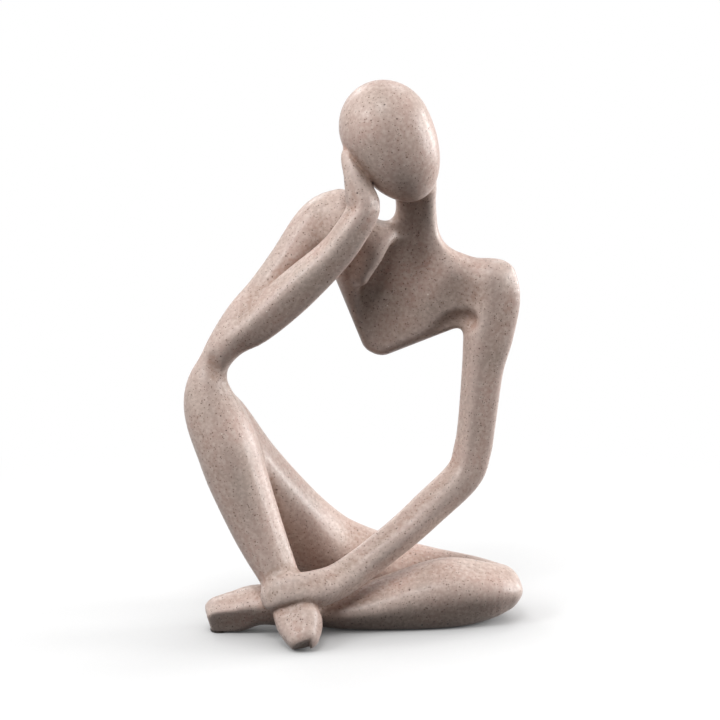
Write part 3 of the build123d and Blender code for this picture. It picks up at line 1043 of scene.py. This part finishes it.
felt, steel = pressed_felt(), drawn_steel()
for name in PADS:
    piece = felt_pad(name)
    piece.data.materials.append(felt)
    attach(piece, "root")
    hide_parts(name)
print(len(PADS), "pads in", felt.name)

# %% Steel pins
PINS = ("right_shoulder_pin", "left_shoulder_pin", "hip_pin", "knee_pin", "ankle_pin")
for name in PINS:
    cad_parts[name].material_slots[0].material = steel
print(len(PINS), "pins in", steel.name)

# %% [markdown]
# ## Floor and light
# The photograph has a white studio sweep, with soft light from the left, from the right and from above.
# Three soft boxes stand high on the left and in front, and two tall ones stand low on the right.
# The tall ones brighten the edges of the head, the neck and the arm, and two more light the back.
# Near the figure the floor takes the lamps' shadow, and a painted shadow darkens its glow; further out it
# turns to plain white.
# It does so only where it is seen directly or in a reflection, so the white is no lamp.

# %% Floor
FLOOR_RADIUS = 1.2
FLOOR_HOLE = 0.001
FLOOR_RINGS = 24
FLOOR_SIDES = 96
PAPER = "#F4F4F4"
PAPER_BOUNCE = "#303030"
SHADOW_REACH = 0.12
SHADOW_NEAR = 0.1
SHADOW_FAR = 0.3
SHADOW_SAMPLES = 16
GLOW_SHARE = 0.6
PAPER_ROUGHNESS = 0.9


def seen_directly(tree):
    """One for rays from the camera, from a reflection or through glass, and zero for light on the figure."""
    path = node(tree, "LightPath").outputs
    both = node(tree, "Math", {0: path["Is Camera Ray"], 1: path["Is Glossy Ray"]}, operation="MAXIMUM")
    every = node(tree, "Math", {0: both.outputs[0], 1: path["Is Transmission Ray"]}, operation="MAXIMUM")
    return every.outputs[0]


def floor_paint():
    """Matt white paper that fades with distance to a white glow where seen directly; a painted shadow darkens
    the glow near the figure.
    """
    material, tree, shader, place = new_material("matt_white_paper")
    direct = seen_directly(tree)
    paper = node(tree, "Mix", {0: direct, 6: linear(PAPER_BOUNCE), 7: linear(PAPER)}, data_type="RGBA")
    tree.links.new(paper.outputs[2], shader.inputs["Base Color"])
    shader.inputs["Roughness"].default_value = PAPER_ROUGHNESS
    # Painted shadow: the glow is darkened where the figure stands close by and hides the open air
    painted_floor_shadow = node(tree, "AmbientOcclusion", {"Distance": SHADOW_REACH}, samples=SHADOW_SAMPLES)
    glow = node(tree, "Emission", {"Color": painted_floor_shadow.outputs["Color"], "Strength": 1.0})
    reach = node(tree, "VectorMath", {0: place}, operation="LENGTH")
    away = node(tree, "MapRange", {"Value": reach.outputs["Value"], "From Min": SHADOW_NEAR,
                                   "From Max": SHADOW_FAR, "To Min": GLOW_SHARE},
                interpolation_type="SMOOTHSTEP")
    share = node(tree, "Math", {0: away.outputs[0], 1: direct}, operation="MULTIPLY")
    both = node(tree, "MixShader", {0: share.outputs[0], 1: shader.outputs[0], 2: glow.outputs[0]})
    tree.links.new(both.outputs[0], tree.nodes["Material Output"].inputs["Surface"])
    return material


def add_floor():
    """A disc of rings, each point at its ring's radius and its own angle."""
    radius, angle = np.meshgrid(np.linspace(FLOOR_HOLE, FLOOR_RADIUS, FLOOR_RINGS),
                                np.linspace(0, 2 * np.pi, FLOOR_SIDES, endpoint=False), indexing="ij")
    at = np.stack([radius * np.cos(angle), radius * np.sin(angle), 0 * radius], axis=2).reshape(-1, 3)
    ring, spoke = np.meshgrid(np.arange(FLOOR_RINGS - 1), np.arange(FLOOR_SIDES), indexing="ij")
    after = (spoke + 1) % FLOOR_SIDES
    corners = [ring * FLOOR_SIDES + spoke, (ring + 1) * FLOOR_SIDES + spoke,
               (ring + 1) * FLOOR_SIDES + after, ring * FLOOR_SIDES + after]
    mesh = bpy.data.meshes.new("floor")
    mesh.from_pydata(at.tolist(), [], np.stack(corners, axis=2).reshape(-1, 4).tolist())
    mesh.materials.append(floor_paint())
    floor = bpy.data.objects.new("floor", mesh)
    bpy.context.collection.objects.link(floor)


add_floor()
print("floor out to", FLOOR_RADIUS, "m")

# %% Lights
# For each soft box: place in metres, width and height in metres, power in watts
LAMPS = {
    "left_front": ((-0.74, -0.52, 0.75), (0.35, 0.35), 6.6),
    "high_front": ((-0.12, -0.56, 1.02), (0.35, 0.35), 5.2),
    "far_left": ((-0.90, 0.0, 0.75), (0.35, 0.35), 2.2),
    "tall_right": ((1.08, 0.04, 0.31), (0.3, 0.5), 8.5),
    "rim_right": ((0.94, 0.54, 0.31), (0.3, 0.5), 7.5),
    "back_left": ((-0.45, 0.78, 0.73), (0.35, 0.35), 2.2),
    "back_right": ((0.32, 0.58, 0.95), (0.35, 0.35), 2.0),
}
ROOM_LEVEL = 0.01


def add_lamp(name, at, size, watts):
    """A rectangular soft box that looks at the middle of the figure."""
    data = bpy.data.lights.new(name, "AREA")
    data.shape = "RECTANGLE"
    data.size, data.size_y = size
    data.energy = watts
    lamp = bpy.data.objects.new(name, data)
    lamp.location = at
    aim = AIM * MM - np.array(at)
    yaw = math.atan2(aim[1], aim[0]) - math.pi / 2
    pitch = math.atan2(aim[2], math.hypot(aim[0], aim[1])) + math.pi / 2
    lamp.rotation_euler = (pitch, 0, yaw)
    bpy.context.collection.objects.link(lamp)


def add_world(strength):
    """A white room: an even dim light on the figure, and plain white where it is seen directly."""
    world = bpy.data.worlds.new("studio")
    bpy.context.scene.world = world
    world.use_nodes = True
    tree = world.node_tree
    level = node(tree, "MapRange", {"Value": seen_directly(tree), "To Min": strength, "To Max": 1.0})
    tree.links.new(level.outputs[0], tree.nodes["Background"].inputs["Strength"])
    tree.nodes["Background"].inputs["Color"].default_value = (1, 1, 1, 1)


for name, (at, size, watts) in LAMPS.items():
    add_lamp(name, at, size, watts)
add_world(ROOM_LEVEL)
bpy.context.scene.view_settings.view_transform = "Standard"
print("lamps", list(LAMPS))
